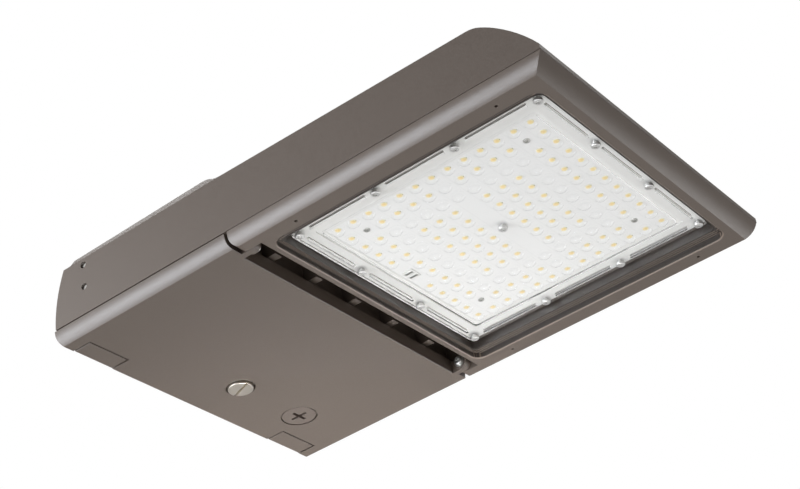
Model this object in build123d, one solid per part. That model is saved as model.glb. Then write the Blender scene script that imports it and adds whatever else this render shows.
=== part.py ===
from build123d import *
import os

os.makedirs("parts", exist_ok=True)

# Driving dimensions in millimetres. Heights are measured up from the flat bottom face of the lamp,
# and x runs forward from the face of the rear mounting pad.

# Light sources and lens
led_columns = 13
led_rows = 12
led_pitch_x = 15.35
led_pitch_y = 17.2
led_size = 3.4
led_height = 0.8
board_margin = 9.0
board_thickness = 1.6
board_play = 2.0
pad_thickness = 0.5
dome_radius = 5.6
dome_height = 3.0
flange_height = 10.2
flange_thickness = 3.0
field_sink = 1.5
field_thickness = 2.0
field_margin = 9.5
screw_margin_x = 20.8
screw_margin_y = 22.35
flange_edge = 6.0
led_gap = 0.4
lens_gasket_inner = 8.6
lens_gasket_outer = 5.5
lens_gasket_thickness = 1.5
lens_seat_gap = 0.1
flange_groove_width = 2.2
flange_groove_depth = 1.6
flange_groove_inset = 10.0

# Recess round the lens
lens_gap_x = 2.8
lens_gap_y = 4.9
ledge_x = 4.1
ledge_y = 9.4
ledge_height = 5.3
lip_radius = 10.0
lip_bevel = 0.9
ridge_width = 0.7
ridge_depth = 0.7

# Lamp frame and nose
rim_rear = 5.4
rim_front = 8.2
rim_side = 15.9
edge_inset = 6.8
edge_height = 14.0
edge_step = 0.5
nose_reach = 10.9
nose_step = 0.1
nose_lip = 4.2
nose_knee_back = 31.6
nose_knee_height = 52.3
nose_bend_back = 44.1
nose_bend_height = 60.7
nose_start_back = 55.6
frame_height_rear = 67.3
frame_height_front = 63.8
frame_seam = 0.3
frame_edge = 0.8
frame_rib = 5.0
rim_hole_radius = 1.4
rim_hole_depth = 7.0
rim_hole_span_x = 187.8
rim_hole_inset = 7.9

# Heat sink with its fins on top
fin_thickness = 3.0
fin_count = 17
fin_floor = 8.0
fin_top_gap = 0.6
sink_play = 0.3
sink_wall = 7.0
sink_rear_wall = 3.0
sink_front_wall = 4.0
sink_tuck = 10.0
sink_screw_count = 3
sink_screw_pitch = 100.0
frame_screw_count = 3
frame_screw_pitch = 70.0

# Driver bay
pad_proud = 2.8
bay_length = 184.4
bay_height = 73.4
bay_height_rear = 70.7
rear_lean = 11.6
rear_corner_drop = 3.8
rear_corner_run = 12.1
rear_ledge = 8.0
rear_inner_drop = 4.0
top_lean = 1.1
step_length = 21.0
step_lead = 18.5
bay_wall = 5.0
rear_wall = 3.0
roof = 7.0
groove_roof = 3.6
panel_play = 0.2
shelf = 4.0
shelf_rear = 27.2
shelf_side = 12.0
shelf_front = 18.0
lip_recess = 7.0
gap_width = 22.3
groove_inset = 16.5
rib_count = 5
rib_pitch = 50.8
rib_width = 8.0
rib_depth = 6.2
rib_foot = 16.0
foot_pad_length = 17.4
foot_pad_back = 2.2
foot_pad_edge = 0.4
foot_pad_width = 45.0
foot_pad_place = 120.2
foot_pad_gap = 1.5

# Driver door and hinge
door_floor = 3.0
door_wall = 3.4
door_seam = 0.8
door_rear_reach = 1.6
door_rear_round = 3.5
seal_rib_width = 5.0
seal_edge = 0.5
door_gasket_thickness = 2.6
door_gasket_gap = 0.3
ear_radius = 6.9
ear_thickness = 5.6
ear_gap = 0.5
ear_boss_radius = 6.6
ear_boss_height = 2.0
strip_gap = 3.0
strip_cover = 0.1
hinge_pin_radius = 2.5
hinge_play = 0.06
hinge_head_radius = 3.9
hinge_head_height = 2.6
hinge_washer_radius = 5.0
hinge_washer_thickness = 1.0
hinge_side_play = 0.1
hinge_bite = 9.0

# Quarter-turn fastener
latch_x = 51.5
latch_y = 9.5
latch_head_radius = 11.2
latch_head_proud = 2.0
latch_head_sink = 3.2
latch_recess_radius = 13.0
latch_boss_radius = 18.5
latch_boss_height = 9.0
latch_stem_radius = 4.5
latch_play = 0.06
latch_slot_width = 1.9
latch_slot_depth = 1.8
latch_slot_angle = -20.0
latch_clip_radius = 8.0
latch_clip_thickness = 1.2
latch_pin_radius = 1.5
latch_pin_length = 17.0
latch_reach = 32.0
receiver_height = 22.0
receiver_thickness = 2.0
receiver_length = 26.0
receiver_width = 46.0
receiver_slot_gap = 1.8
post_flats = 9.0
post_stub_radius = 2.0
post_stub_length = 3.0
post_edge = 5.0

# Plug in the sensor port
plug_x = 51.0
plug_y = 88.3
plug_radius = 15.4
plug_ring_gap = 1.1
plug_head = 2.4
plug_boss_radius = 20.0
plug_boss_height = 7.0
plug_neck_radius = 10.8
plug_neck_play = 0.2
plug_neck_length = 15.0
plug_nut_flats = 30.0
plug_nut_height = 5.0
plug_seal_thickness = 1.2
cross_length = 16.0
cross_width = 3.0
cross_depth = 4.0

# Rear mount
mount_height = 40.0
mount_pad_width = 124.0
mount_pad_height = 40.0
bolt_spacing = 80.0
bolt_hole_radius = 5.5
wire_hole_radius = 13.0
grommet_bore_radius = 8.0
grommet_lip = 2.5
grommet_play = 0.1
grommet_lip_thickness = 2.0
bracket_thickness = 3.0
bracket_height = 34.0
corner_arm = 34.0
corner_leg = 17.0
corner_low = 23.0
corner_high = 50.0
rear_screw_seat = 9.0
rear_screw_heights = (30.0, 43.0)
side_screw_x = 37.0
side_screw_drop = 2.7
side_screw_pitch = 21.1
side_sink = 1.6
side_screw_radius = 2.0
side_head_radius = 2.8
side_head_height = 1.4

# Cover over the driver bay
cover_lug_x = 66.0
cover_lug_length = 12.0
cover_lug_width = 11.5
cover_lug_height = 9.0
cover_screw_seat = 2.0
cover_bite = 3.0

# Parts inside the driver bay
driver_size = (64.0, 210.0, 36.0)
driver_front_gap = 7.0
driver_ear = 12.0
driver_ear_thickness = 2.0
driver_bracket_thickness = 2.0
driver_bracket_edge = 5.0
surge_size = (34.0, 52.0, 30.0)
surge_front_gap = 12.0
surge_side_gap = 16.0
terminal_size = (24.0, 44.0, 20.0)
terminal_front_gap = 14.0
terminal_side_gap = 24.0
terminal_ways = 4

# Small screws
lens_screw_radius = 1.95
lens_head_radius = 3.8
lens_head_height = 2.5
lens_screw_bite = 6.0
small_screw_radius = 1.5
small_head_radius = 2.8
small_head_height = 1.8
small_screw_bite = 4.0
thread_play = 0.05
socket_width = 1.2
socket_depth = 0.9

# Places that follow from the sizes above
field_x = (led_columns - 1) * led_pitch_x
field_y = (led_rows - 1) * led_pitch_y
screw_x = field_x / 2 + screw_margin_x
screw_y = field_y / 2 + screw_margin_y
plate_x = screw_x + flange_edge
plate_y = screw_y + flange_edge
well_x = plate_x + lens_gap_x
well_y = plate_y + lens_gap_y
lip_x = well_x + ledge_x
lip_y = well_y + ledge_y
board_x = field_x / 2 + board_margin
board_y = field_y / 2 + board_margin
flat_y = lip_y + rim_side
half_width = flat_y + edge_inset
x_rear = pad_proud
x_lip = x_rear + bay_length
x_frame = x_lip + gap_width
lens_x = x_frame + rim_rear + lip_x
x_flat = lens_x + lip_x + rim_front
x_tip = x_flat + nose_reach
base = -mount_height
wall_foot = edge_height
door_top = edge_height - door_seam
strip_radius = ear_radius + strip_cover
hinge_ahead = strip_radius + strip_gap
hinge_x = x_lip + hinge_ahead
hinge_z = ear_radius
seal_height = wall_foot - door_gasket_gap - door_gasket_thickness
seal_rear = x_rear + shelf_rear - seal_rib_width - seal_edge
recess_x = x_lip - lip_recess
seal_front = recess_x - seal_edge
door_inner = flat_y - 0.6
groove_half = half_width - groove_inset
ear_outer = groove_half - ear_gap
ear_inner = ear_outer - ear_thickness
ear_face = ear_inner - ear_boss_height
seat_height = flange_height + flange_thickness + lens_seat_gap + lens_gasket_thickness
field_back = flange_height + field_sink + field_thickness
board_front = field_back + led_gap + led_height
board_back = board_front + board_thickness
sink_face = board_back + pad_thickness
fin_root = sink_face + fin_floor
shoulder_x = x_rear + rear_lean
shoulder_height = bay_height_rear - rear_corner_drop
cavity_rear = shoulder_x + rear_wall
cavity_front = recess_x - bay_wall
cavity_half = half_width - bay_wall
ceiling = bay_height_rear - roof
groove_ceiling = min(ceiling, frame_height_rear - groove_roof)
cover_rear = cavity_rear + rear_corner_run
shelf_top = wall_foot + shelf
frame_top = edge_height - frame_seam
sink_half = half_width - sink_wall
sink_rear = x_frame + sink_rear_wall
sink_front = x_flat - sink_front_wall
fin_rear = sink_rear + sink_tuck
fin_front = sink_front - sink_tuck
fin_front_top = x_tip - nose_start_back - sink_front_wall
fin_pitch = (2 * sink_half + fin_thickness) / (fin_count + 1)
step_start = x_lip - step_lead
step_end = step_start + step_length
side_seat = half_width - side_sink - side_head_height
side_screw_heights = (ceiling - side_screw_drop - side_screw_pitch, ceiling - side_screw_drop)


def block(x0, x1, y0, y1, z0, z1):
    """Box between two corners, heights from the bottom face."""
    box = Box(x1 - x0, y1 - y0, z1 - z0)
    return Pos((x0 + x1) / 2, (y0 + y1) / 2, base + (z0 + z1) / 2) * box


def rod(x, y, z0, z1, radius):
    """Upright cylinder."""
    return Pos(x, y, base + (z0 + z1) / 2) * Cylinder(radius, z1 - z0)


def cross_rod(x, z, y0, y1, radius):
    """Cylinder lying across the lamp."""
    return Pos(x, (y0 + y1) / 2, base + z) * Rot(90, 0, 0) * Cylinder(radius, abs(y1 - y0))


def long_rod(y, z, x0, x1, radius):
    """Cylinder lying along the lamp."""
    return Pos((x0 + x1) / 2, y, base + z) * Rot(0, 90, 0) * Cylinder(radius, abs(x1 - x0))


def tile(half_x, half_y, corner, z0, z1):
    """Round-cornered slab centred on the lens."""
    face = Pos(lens_x, 0, base + z0) * RectangleRounded(2 * half_x, 2 * half_y, corner)
    return extrude(face, z1 - z0, dir=(0, 0, 1))


def across(edges, y0, y1):
    """Side outline carried across the lamp from y0 to y1."""
    face = Pos(0, y0, base) * (Plane.XZ * make_face(edges))
    return extrude(face, y1 - y0, dir=(0, 1, 0))


def mirrored(shape):
    """Shape together with its reflection on the other side."""
    return shape + mirror(shape, about=Plane.XZ)


def pan_screw(x, y, z_seat, head_radius, head_height, radius, length, turn=(0, 0, 0)):
    """Screw driven upward from its seat, or turned to point another way, with a cross socket in its head."""
    head = Pos(0, 0, -head_height / 2) * Cylinder(head_radius, head_height)
    head = fillet(head.edges().sort_by(Axis.Z)[0], head_height * 0.45)
    socket = Box(head_radius * 1.1, socket_width, 2 * socket_depth)
    socket += Rot(0, 0, 90) * socket
    head -= Pos(0, 0, -head_height) * socket
    screw = head + Pos(0, 0, length / 2) * Cylinder(radius, length)
    return Pos(x, y, base + z_seat) * Rot(*turn) * screw


def tapped(x, y, z_seat, radius, length):
    """Hole that takes the shank of an upward screw."""
    return rod(x, y, z_seat - 0.5, z_seat + length + 0.6, radius + thread_play)


def lens_screw_places():
    """Places of the screws round the lens flange."""
    places = []
    for i in range(4):
        for j in range(4):
            if i in (0, 3) or j in (0, 3):
                places.append((lens_x + screw_x * (2 * i / 3 - 1), screw_y * (2 * j / 3 - 1)))
    return places


def site_place(column, row):
    """Place of one lens site in the grid."""
    x = lens_x + (column - (led_columns - 1) / 2) * led_pitch_x
    return x, (row - (led_rows - 1) / 2) * led_pitch_y


def ring_of(column, row):
    """Rings counted inward from the edge of the grid."""
    return min(column, led_columns - 1 - column, row, led_rows - 1 - row)


def in_window(column, row):
    """Sites left clear for the connector at the rear edge."""
    return column == 0 and abs(row - (led_rows - 1) / 2) < 1


def is_board_screw(column, row):
    """Corner sites of the second ring hold the board screws."""
    return column in (1, led_columns - 2) and row in (1, led_rows - 2)


def has_led(column, row):
    """Light sources fill the two outer rings and the middle, but for the centre column."""
    ring = ring_of(column, row)
    centre = abs(column - (led_columns - 1) / 2) < 0.5
    if ring == 0:
        return not in_window(column, row)
    if ring == 2 or centre:
        return False
    return not is_board_screw(column, row)


def has_dome(column, row):
    """Every site has a dome but for the window, the board screws and the middle of the centre column."""
    centre = abs(column - (led_columns - 1) / 2) < 0.5
    middle = centre and ring_of(column, row) > 2
    return not (middle or in_window(column, row) or is_board_screw(column, row))


sites = [(column, row) for column in range(led_columns) for row in range(led_rows)]
board_screw_places = [site_place(*site) for site in sites if is_board_screw(*site)]


def band_section(length_from, length_to):
    """Cross section of the body: rounded lower edges and upright walls."""
    band_top = half_width - edge_step
    top = bay_height + 2
    side = [TangentArc((band_top, edge_height), (flat_y, 0), tangent=(0, -1)),
            Line((band_top, edge_height), (half_width, edge_height)),
            Line((half_width, edge_height), (half_width, top)),
            Line((half_width, top), (0, top)),
            Line((0, top), (0, 0)),
            Line((0, 0), (flat_y, 0))]
    face = Pos(length_from, 0, base) * (Plane.YZ * make_face(side))
    return mirrored(extrude(face, length_to - length_from, dir=(1, 0, 0)))


def round_hinge(radius, height):
    """Point behind the hinge axis, on a circle about it, at a given height."""
    return hinge_x - (radius ** 2 - (hinge_z - height) ** 2) ** 0.5, height


def body_outline():
    """Side outline of the housing, from the rear wall's foot over the top to the nose."""
    foot = (x_rear, wall_foot)
    shoulder = (shoulder_x, shoulder_height)
    ledge = (shoulder_x + rear_ledge, shoulder_height)
    top_rear = (shoulder_x + rear_corner_run, bay_height_rear)
    top_front = (step_start, bay_height)
    step_low = (step_end, frame_height_rear)
    step_mid = ((step_start + step_end) / 2, (bay_height + frame_height_rear) / 2)
    nose_start = (x_tip - nose_start_back, frame_height_front)
    bend = (x_tip - nose_bend_back, nose_bend_height)
    knee = (x_tip - nose_knee_back, nose_knee_height)
    tip_top = (x_tip, wall_foot + nose_lip)
    tip_low = (x_tip, wall_foot)
    rear = TangentArc(foot, shoulder, tangent=(0, 1))
    corner = TangentArc(nose_start, bend, tangent=(1, -0.014))
    nose = TangentArc(bend, knee, tangent=corner % 1)
    return [rear,
            Line(shoulder, ledge),
            Line(ledge, top_rear),
            Line(top_rear, top_front),
            TangentArc(top_front, step_mid, tangent=(1, 0.02)),
            TangentArc(step_low, step_mid, tangent=(-1, 0.014)),
            Line(step_low, nose_start),
            corner,
            nose,
            TangentArc(knee, tip_top, tangent=nose % 1),
            Line(tip_top, tip_low),
            Line(tip_low, foot)]


def frame_outline():
    """Side outline of the lamp frame, with its steep front and its rounded end at the hinge."""
    front_top = (x_tip - nose_step, frame_top)
    front_mid = ((x_flat + front_top[0]) / 2 + 0.9, front_top[1] / 2 - 0.7)
    strip_low = round_hinge(strip_radius, 0)
    strip_back = round_hinge(strip_radius, hinge_z)
    return [ThreePointArc((x_flat, 0), front_mid, front_top),
            Line(front_top, (strip_back[0], frame_top)),
            Line((strip_back[0], frame_top), strip_back),
            ThreePointArc(strip_back, round_hinge(strip_radius, hinge_z * 0.4), strip_low),
            Line(strip_low, (x_flat, 0))]


def top_line(x):
    """Height of the flat top over the lamp."""
    rear = step_end
    front = x_tip - nose_start_back
    return frame_height_rear + (frame_height_front - frame_height_rear) * (x - rear) / (front - rear)


def fin_outline(gap, over):
    """Side outline of the space for the fins, drawn in by a gap and carried over the top."""
    rear = fin_rear + gap
    front = fin_front_top - gap
    edge = Polyline((rear, fin_root), (fin_front - gap, fin_root), (front, top_line(front) + over),
                    (rear, top_line(rear) + over), close=True)
    return edge.edges()


def strip_cut():
    """Wedge that leans the bay's left top edge inward, above a crease from the rear corner to the step."""
    slope = (frame_height_rear - shoulder_height) / (step_end - shoulder_x)
    start = (0, half_width, base + shoulder_height - slope * shoulder_x)
    crease = Plane(origin=start, x_dir=(0, 1, 0), z_dir=(1, 0, slope))
    edge = Polyline((0, 0), (-3 * top_lean, 3 * rear_corner_drop), (bay_wall, 3 * rear_corner_drop), (bay_wall, 0),
                    close=True)
    return extrude(crease * make_face(edge.edges()), x_frame)


def outer_skin():
    """Full outside form of the housing with its rear plate and its cover."""
    body = across(body_outline(), -half_width, half_width) & band_section(-5, x_tip + 5)
    return body - mirrored(strip_cut())


def make_housing():
    """The casting: side walls, shelf round the driver bay, cross walls, and nose round the heat sink."""
    body = outer_skin()
    # driver bay, open to the rear and the top, and the opening through its shelf
    body -= block(-5, cavity_front, -cavity_half, cavity_half, shelf_top, bay_height + 9)
    body -= block(cavity_front - 1, x_frame, -cavity_half, cavity_half, groove_ceiling, bay_height + 9)
    body -= block(x_rear + shelf_rear, x_lip - shelf_front, shelf_side - half_width, half_width - shelf_side,
                  wall_foot - 1, shelf_top + 1)
    # groove between the bay and the lamp, which runs back over the door, with its ribs
    body -= block(recess_x, x_frame, -groove_half, groove_half, wall_foot - 1, groove_ceiling + 1)
    for i in range(rib_count):
        y = (i - (rib_count - 1) / 2) * rib_pitch
        body += block(recess_x - 1, x_lip + rib_depth, y - rib_width / 2, y + rib_width / 2,
                      rib_foot, groove_ceiling)
    # well for the heat sink, open at the top for its fins
    body -= block(sink_rear, sink_front, -sink_half, sink_half, wall_foot - 1, fin_root)
    body -= across(fin_outline(0, 9), -sink_half, sink_half)
    # foot pads that stand in the door's notches
    foot = block(x_rear + foot_pad_back, x_rear + foot_pad_back + foot_pad_length,
                 foot_pad_place - foot_pad_width / 2 + foot_pad_gap,
                 foot_pad_place + foot_pad_width / 2 - foot_pad_gap, 0, wall_foot + 1)
    foot = chamfer(foot.faces().sort_by(Axis.Z)[0].edges(), foot_pad_edge)
    body += mirrored(foot)
    # lugs that the cover is screwed to
    lug = block(cover_lug_x - cover_lug_length / 2, cover_lug_x + cover_lug_length / 2,
                cavity_half - cover_lug_width, cavity_half + 1, ceiling - cover_lug_height, ceiling)
    body += mirrored(lug)
    # holes
    for side in (-1, 1):
        for z in side_screw_heights:
            body -= cross_rod(side_screw_x, z, side * (cavity_half - 1), side * (half_width + 1),
                              side_screw_radius + thread_play)
            body -= cross_rod(side_screw_x, z, side * side_seat, side * (half_width + 1),
                              side_head_radius + panel_play)
    for x, y in sink_screw_places():
        body -= tapped(x, y, fin_root, lens_screw_radius, lens_screw_bite)
    for x, y, top in cover_screw_places():
        body -= rod(x, y, top - small_screw_bite - 0.6, top + 1, small_screw_radius + thread_play)
    return body


def make_rear_plate():
    """Rear wall between the side walls, with the mounting pad, the bolt holes and the wire entry."""
    edge = Polyline((-5, shelf_top), (cavity_rear, shelf_top), (cavity_rear, ceiling - rear_inner_drop),
                    (cover_rear, ceiling), (cover_rear, bay_height + 9), (-5, bay_height + 9), close=True)
    half = cavity_half - panel_play
    body = outer_skin() & across(edge.edges(), -half, half)
    pad = block(0, cavity_rear, -mount_pad_width / 2, mount_pad_width / 2,
                mount_height - mount_pad_height / 2, mount_height + mount_pad_height / 2)
    pad = fillet(pad.edges().filter_by(Axis.X), 6.0)
    body += pad
    # room for the backing plate and the bush behind the pad
    body -= block(cavity_rear, cavity_rear + bracket_thickness + grommet_lip_thickness + panel_play,
                  -mount_pad_width / 2 - panel_play, mount_pad_width / 2 + panel_play,
                  shelf_top, mount_height + bracket_height / 2 + panel_play)
    for side in (-1, 1):
        body -= long_rod(side * bolt_spacing / 2, mount_height, -1, cavity_rear + 1, bolt_hole_radius)
    body -= long_rod(0, mount_height, -1, cavity_rear + 1, wire_hole_radius)
    for y, z in rear_screw_places():
        body -= long_rod(y, z, -1, rear_screw_seat, small_head_radius + panel_play)
        body -= long_rod(y, z, 0, cavity_rear + 1, small_screw_radius + thread_play)
    return body


def rear_screw_places():
    """Screws through the rear plate into the corner brackets, as y and height."""
    y = cavity_half - (corner_leg + bracket_thickness) / 2
    return [(side * y, z) for z in rear_screw_heights for side in (-1, 1)]


def make_bay_cover():
    """Flat cover over the driver bay and the groove."""
    half = cavity_half - panel_play
    space = block(cover_rear + panel_play, x_frame - panel_play, -half, half, ceiling, bay_height + 9)
    space += block(cavity_front, x_frame - panel_play, -half, half, groove_ceiling, bay_height + 9)
    body = outer_skin() & space
    for x, y, top in cover_screw_places():
        body -= rod(x, y, top - 1, bay_height + 9, small_screw_radius + thread_play)
        body -= rod(x, y, top + cover_screw_seat, bay_height + 9, small_head_radius + panel_play)
    for x, y in receiver_screw_places():
        body -= rod(x, y, ceiling - 1, ceiling + post_stub_length + panel_play, post_stub_radius + thread_play)
    for x, y in driver_screw_places() + surge_screw_places() + terminal_screw_places() + [earth_place()]:
        body -= rod(x, y, ceiling - 1, ceiling + cover_bite + panel_play, small_screw_radius + thread_play)
    return body


def cover_screw_places():
    """Screws down through the cover, two into the lugs and two beside the groove, with their seats' heights."""
    y = cavity_half - cover_lug_width / 2
    seats = ((cover_lug_x, ceiling), ((x_lip + x_frame) / 2, groove_ceiling))
    return [(x, side * y, top) for x, top in seats for side in (-1, 1)]


def make_lamp_frame():
    """Frame under the housing, round the lens: stepped recess, steep front and strips that carry the hinge."""
    body = across(frame_outline(), -half_width, half_width) & band_section(-5, x_tip + 5)
    groove = Polyline((x_lip - 9, -1), (x_frame + frame_edge + 1, -1), (x_frame, frame_edge),
                      (x_frame, frame_top + 1), (x_lip - 9, frame_top + 1), close=True)
    body -= across(groove.edges(), -groove_half, groove_half)
    # rib that the heat sink rests on
    body += tile(well_x + frame_rib, well_y + frame_rib, lip_radius, frame_top - 1, seat_height)
    # stepped recess with a bevelled lip and fine ridges on its ledge
    mouth = Pos(lens_x, 0, base) * RectangleRounded(2 * (lip_x + lip_bevel), 2 * (lip_y + lip_bevel),
                                                    lip_radius + lip_bevel)
    body -= extrude(mouth, lip_bevel, dir=(0, 0, 1), taper=45)
    body -= tile(lip_x, lip_y, lip_radius, -1, ledge_height)
    body -= tile(well_x, well_y, lip_radius * 0.6, 0, seat_height + 1)
    for share in (0.2, 0.48, 0.76):
        ring_x = lip_x - share * ledge_x
        ring_y = lip_y - share * ledge_y
        high = ledge_height + ridge_depth
        ring = tile(ring_x, ring_y, lip_radius * 0.9, ledge_height - 0.5, high)
        ring -= tile(ring_x - ridge_width, ring_y - ridge_width, lip_radius * 0.9 - ridge_width, 0, high + 1)
        body -= ring
    for side in (-1, 1):
        body -= cross_rod(hinge_x, hinge_z, side * (groove_half - 1), side * (groove_half + hinge_bite + 0.6),
                          hinge_pin_radius + thread_play)
        for x in (-rim_hole_span_x / 2, rim_hole_span_x / 2):
            body -= rod(lens_x + x, side * (flat_y - rim_hole_inset), -1, rim_hole_depth, rim_hole_radius)
    for x, y in frame_screw_places():
        body -= rod(x, y, frame_top - small_screw_bite - 0.6, frame_top + 1, small_screw_radius + thread_play)
    return body


def make_heat_sink():
    """Thick plate behind the light board, with fins that fill the top of the housing."""
    plate = block(sink_rear + sink_play, sink_front - sink_play, sink_play - sink_half, sink_half - sink_play,
                  seat_height, fin_root)
    for i in range(fin_count):
        y = (i + 1) * fin_pitch - fin_thickness - sink_half
        plate += across(fin_outline(sink_play, -fin_top_gap), y, y + fin_thickness)
    plate -= tile(board_x + board_play, board_y + board_play, 4.0, 0, sink_face)
    for x, y in lens_screw_places():
        plate -= tapped(x, y, seat_height, lens_screw_radius, lens_screw_bite)
    for x, y in board_screw_places + [(lens_x, 0)]:
        plate -= tapped(x, y, sink_face, small_screw_radius, small_screw_bite)
    for x, y in frame_screw_places():
        plate -= rod(x, y, seat_height - 1, fin_root + 1, small_screw_radius + thread_play)
    for x, y in sink_screw_places():
        plate -= rod(x, y, seat_height - 1, fin_root + 1, lens_screw_radius + thread_play)
        plate -= rod(x, y, seat_height - 1, sink_screw_seat(), lens_head_radius + sink_play)
    return plate


def frame_screw_places():
    """Screws down through the sides of the heat sink into the lamp frame, in the outer gaps of the fins."""
    y = sink_half - (fin_pitch - fin_thickness) / 2
    first = lens_x - (frame_screw_count - 1) / 2 * frame_screw_pitch
    return [(first + i * frame_screw_pitch, side * y) for i in range(frame_screw_count) for side in (-1, 1)]


def sink_screw_places():
    """Screws up through the ends of the heat sink into the housing."""
    first = -(sink_screw_count - 1) / 2 * sink_screw_pitch
    ends = (sink_rear + sink_tuck / 2, sink_front - sink_tuck / 2)
    return [(x, first + i * sink_screw_pitch) for i in range(sink_screw_count) for x in ends]


def sink_screw_seat():
    """Height of the seats of those screws, sunk into the plate."""
    return seat_height + lens_head_height + sink_play


def seal_frame(low, high, gap):
    """Frame that follows the door's seal, drawn in by a gap on its outside."""
    x0 = seal_rear + gap
    x1 = seal_front - gap
    y1 = door_inner - gap
    width = seal_rib_width - gap
    frame = block(x0, x1, -y1, y1, low, high)
    return frame - block(x0 + width, x1 - width, width - y1, y1 - width, low - 1, high + 1)


def make_door():
    """Tray that closes the driver bay, with its hinge ears, notches, bosses and seal rib."""
    rear = x_rear - door_rear_reach
    outline = [Line((rear, door_top), (rear, door_top - 2)),
               ThreePointArc((rear, door_top - 2), (rear + door_rear_round * 0.42, door_rear_round * 0.9),
                             (rear + door_rear_round, 0)),
               Line((rear + door_rear_round, 0), (x_lip - frame_edge, 0)),
               Line((x_lip - frame_edge, 0), (x_lip, frame_edge)),
               Line((x_lip, frame_edge), (x_lip, door_top)),
               Line((x_lip, door_top), (rear, door_top))]
    body = across(outline, -half_width, half_width)
    # side tips that follow the rounded ends of the housing's lower edges
    tip_low = round_hinge(hinge_ahead, 0)
    tip = [Line((x_lip - 1, 0), tip_low),
           ThreePointArc(tip_low, round_hinge(hinge_ahead, hinge_z * 0.4), (x_lip, hinge_z)),
           Line((x_lip, hinge_z), (x_lip - 1, hinge_z)),
           Line((x_lip - 1, hinge_z), (x_lip - 1, 0))]
    body += mirrored(across(tip, ear_inner, half_width))
    body = body & band_section(-5, x_frame)
    # hollow inside
    body -= block(rear + door_rear_round + door_wall, x_lip - door_wall, -door_inner, door_inner,
                  door_floor, door_top + 1)
    # rib that carries the gasket
    body += seal_frame(door_floor - 1, seal_height, 0)
    # bosses round the fastener and the port
    body += rod(latch_x, latch_y, door_floor - 1, latch_boss_height, latch_boss_radius)
    body += rod(plug_x, plug_y, door_floor - 1, plug_boss_height, plug_boss_radius)
    # notches for the foot pads
    notch_end = x_rear + foot_pad_back + foot_pad_length + foot_pad_gap
    notch = block(rear - 1, notch_end, foot_pad_place - foot_pad_width / 2,
                  foot_pad_place + foot_pad_width / 2, -1, door_top + 1)
    body -= mirrored(notch)
    # hinge ears with a round boss on their inner faces
    ear = [Line((x_lip - 1, 0), (hinge_x, 0)),
           ThreePointArc((hinge_x, 0), (hinge_x + ear_radius, hinge_z), (hinge_x, 2 * hinge_z)),
           Line((hinge_x, 2 * hinge_z), (x_lip + 4, door_top - 2)),
           Line((x_lip + 4, door_top - 2), (x_lip - 1, door_top - 2)),
           Line((x_lip - 1, door_top - 2), (x_lip - 1, 0))]
    body += mirrored(across(ear, ear_inner, ear_outer))
    body += mirrored(cross_rod(hinge_x, hinge_z, ear_face, ear_inner + 1, ear_boss_radius))
    for side in (-1, 1):
        body -= cross_rod(hinge_x, hinge_z, side * (ear_face - 1), side * (ear_outer + 1),
                          hinge_pin_radius + hinge_play)
    # hole and recess of the fastener, then the port
    body -= rod(latch_x, latch_y, -1, latch_head_sink + 0.3, latch_recess_radius)
    body -= rod(latch_x, latch_y, 0, latch_boss_height + 1, latch_stem_radius + latch_play)
    body -= rod(plug_x, plug_y, -1, plug_head, plug_radius + plug_ring_gap)
    body -= rod(plug_x, plug_y, 0, plug_boss_height + 1, plug_neck_radius + plug_neck_play)
    return body


def make_door_gasket():
    """Rubber frame on the seal rib."""
    return seal_frame(seal_height, seal_height + door_gasket_thickness, door_gasket_gap)


def make_hinge_screw():
    """Screw from the groove through one ear into the housing, with a cross socket."""
    seat = ear_face - hinge_side_play - hinge_washer_thickness
    pin = cross_rod(hinge_x, hinge_z, seat, groove_half + hinge_bite, hinge_pin_radius)
    head = cross_rod(hinge_x, hinge_z, seat - hinge_head_height, seat, hinge_head_radius)
    head = fillet(head.edges().sort_by(Axis.Y)[0], hinge_head_height * 0.45)
    socket = Box(hinge_head_radius * 1.1, 2 * socket_depth, socket_width)
    socket += Rot(0, 90, 0) * socket
    head -= Pos(hinge_x, seat - hinge_head_height, base + hinge_z) * socket
    return pin + head


def make_hinge_washer():
    """Washer between one ear and the screw's head."""
    face = ear_face - hinge_side_play
    washer = cross_rod(hinge_x, hinge_z, face - hinge_washer_thickness, face, hinge_washer_radius)
    return washer - cross_rod(hinge_x, hinge_z, face - 5, face + 1, hinge_pin_radius + thread_play)


def make_latch_stud():
    """Slotted head, stem with a groove for its clip and a hole for the cross pin."""
    head = rod(latch_x, latch_y, -latch_head_proud, latch_head_sink, latch_head_radius)
    head = fillet(head.edges().sort_by(Axis.Z)[0], 0.8)
    slot = Rot(0, 0, latch_slot_angle) * Box(3 * latch_head_radius, latch_slot_width, 2 * latch_slot_depth)
    head -= Pos(latch_x, latch_y, base - latch_head_proud) * slot
    stem = rod(latch_x, latch_y, latch_head_sink - 0.5, latch_reach, latch_stem_radius)
    stem = chamfer(stem.edges().sort_by(Axis.Z)[-1], 1.2)
    stud = head + stem
    groove = rod(latch_x, latch_y, clip_height(), clip_height() + latch_clip_thickness, latch_stem_radius + 1)
    groove -= rod(latch_x, latch_y, 0, latch_reach, latch_stem_radius - 0.8)
    stud -= groove
    return stud - long_rod(latch_y, pin_height(), latch_x - latch_pin_length, latch_x + latch_pin_length,
                           latch_pin_radius)


def clip_height():
    """Underside of the clip, just above the door's boss."""
    return latch_boss_height + 0.2


def pin_height():
    """Height of the cross pin, above the receiver plate."""
    return receiver_height + receiver_thickness + latch_pin_radius + 0.7


def make_latch_clip():
    """Retaining ring in the groove of the stem."""
    ring = rod(latch_x, latch_y, clip_height(), clip_height() + latch_clip_thickness, latch_clip_radius)
    return ring - rod(latch_x, latch_y, 0, latch_reach, latch_stem_radius - 0.8)


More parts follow.
